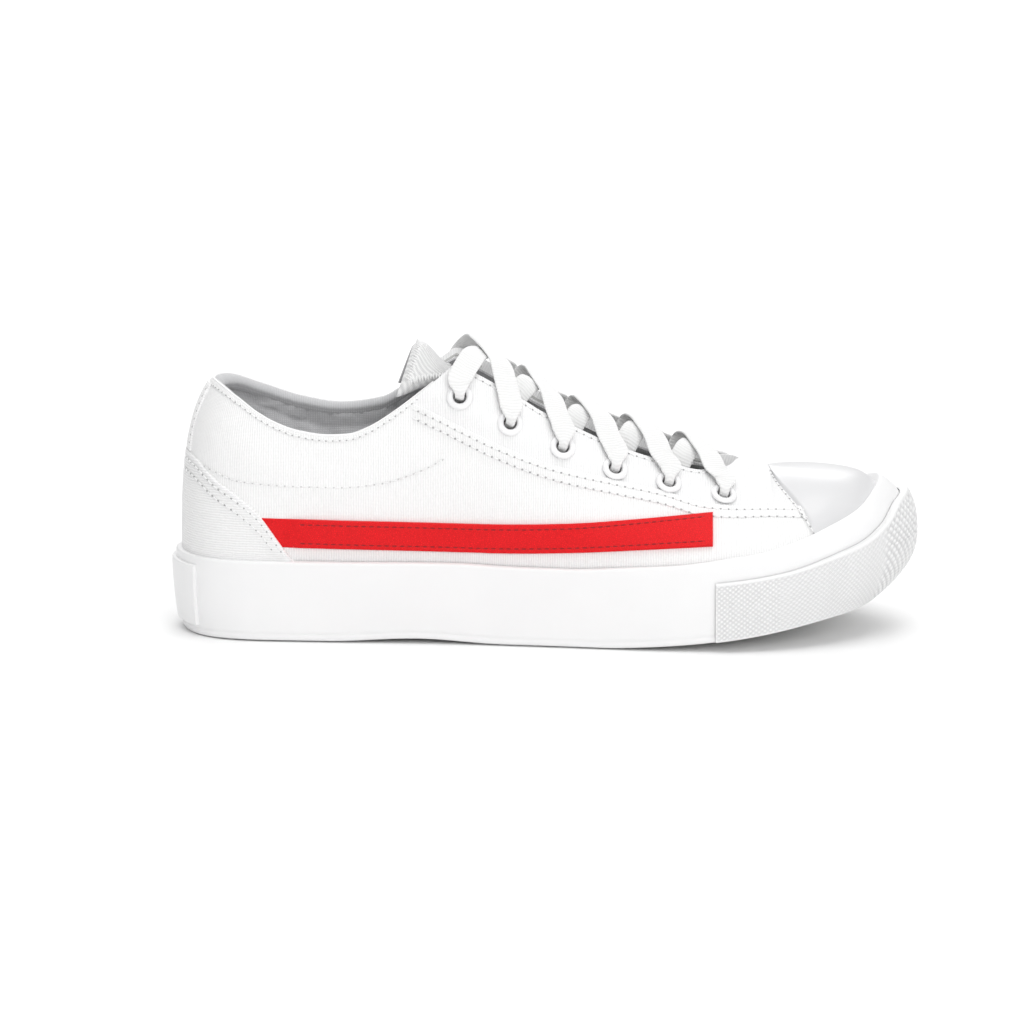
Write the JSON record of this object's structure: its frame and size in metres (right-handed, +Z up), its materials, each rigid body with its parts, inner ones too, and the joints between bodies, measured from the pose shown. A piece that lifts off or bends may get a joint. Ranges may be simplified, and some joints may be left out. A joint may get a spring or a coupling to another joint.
{
  "type": "bowling shoe",
  "caption": "Low lace-up canvas shoe for the right foot, with rubber edge band and toe bumper, side stripe, padded collar, sliding sole pad and a hinged tongue.",
  "frame": {"origin": "centre of the bounding box on the ground plane", "axes": "+X towards the toe, -Y the outer (lateral) side, +Z up"},
  "size_m": [0.287, 0.1044, 0.1124],
  "materials": {
    "eyelets": "white paint, satin",
    "aglets": "satin",
    "canvas": "ribbed cotton canvas",
    "lining": "plain cotton",
    "sockliner": "cloth-faced foam",
    "foam": "open foam",
    "facing": "backing cloth",
    "stiffener": "fibreboard",
    "toe_cap": "smooth, satin",
    "binding": "folded tape",
    "stripe": "fine grain",
    "foxing_rubber": "satin",
    "outsole_rubber": "matt",
    "slide_pad": "smooth microfibre",
    "lace": "flat woven cotton"
  },
  "bodies": {
    "shoe": {"aglet_lateral": "aglets", "aglet_medial": "aglets", "collar_binding": "binding", "collar_foam": "foam", "collar_lining": "lining", "eyelet_facing_lateral": "facing", "eyelet_facing_medial": "facing", "eyelet_lateral_1": "eyelets", "eyelet_lateral_2": "eyelets", "eyelet_lateral_3": "eyelets", "eyelet_lateral_4": "eyelets", "eyelet_lateral_5": "eyelets", "eyelet_lateral_6": "eyelets", "eyelet_medial_1": "eyelets", "eyelet_medial_2": "eyelets", "eyelet_medial_3": "eyelets", "eyelet_medial_4": "eyelets", "eyelet_medial_5": "eyelets", "eyelet_medial_6": "eyelets", "eyestay_lateral": "canvas", "eyestay_medial": "canvas", "foxing_band": "foxing_rubber", "heel_backstay": "canvas", "heel_brake_pad": "foxing_rubber", "heel_counter_cover": "canvas", "heel_grip": "lining", "heel_patch": "foxing_rubber", "heel_stiffener": "stiffener", "insole_board": "stiffener", "lace": "lace", "midsole_filler": "foam", "outsole": "outsole_rubber", "quarter_lateral": "canvas", "quarter_lining": "lining", "quarter_medial": "canvas", "side_stripe_lateral": "stripe", "side_stripe_medial": "stripe", "slide_pad": "slide_pad", "sockliner": "sockliner", "toe_bumper": "foxing_rubber", "toe_cap": "toe_cap", "toe_puff": "stiffener", "vamp": "canvas", "vamp_lining": "lining"},
    "tongue": {"tongue_face": "canvas", "tongue_foam": "foam", "tongue_lining": "lining"}
  },
  "joints": [
    {"name": "tongue_hinge", "type": "hinge", "parent": "shoe", "child": "tongue", "pos_m": [0.0855, -0.001, 0.0555], "axis": [0, 1, 0], "range_deg": [-7, 0], "stiffness_Nm_per_rad": 0.3}
  ]
}
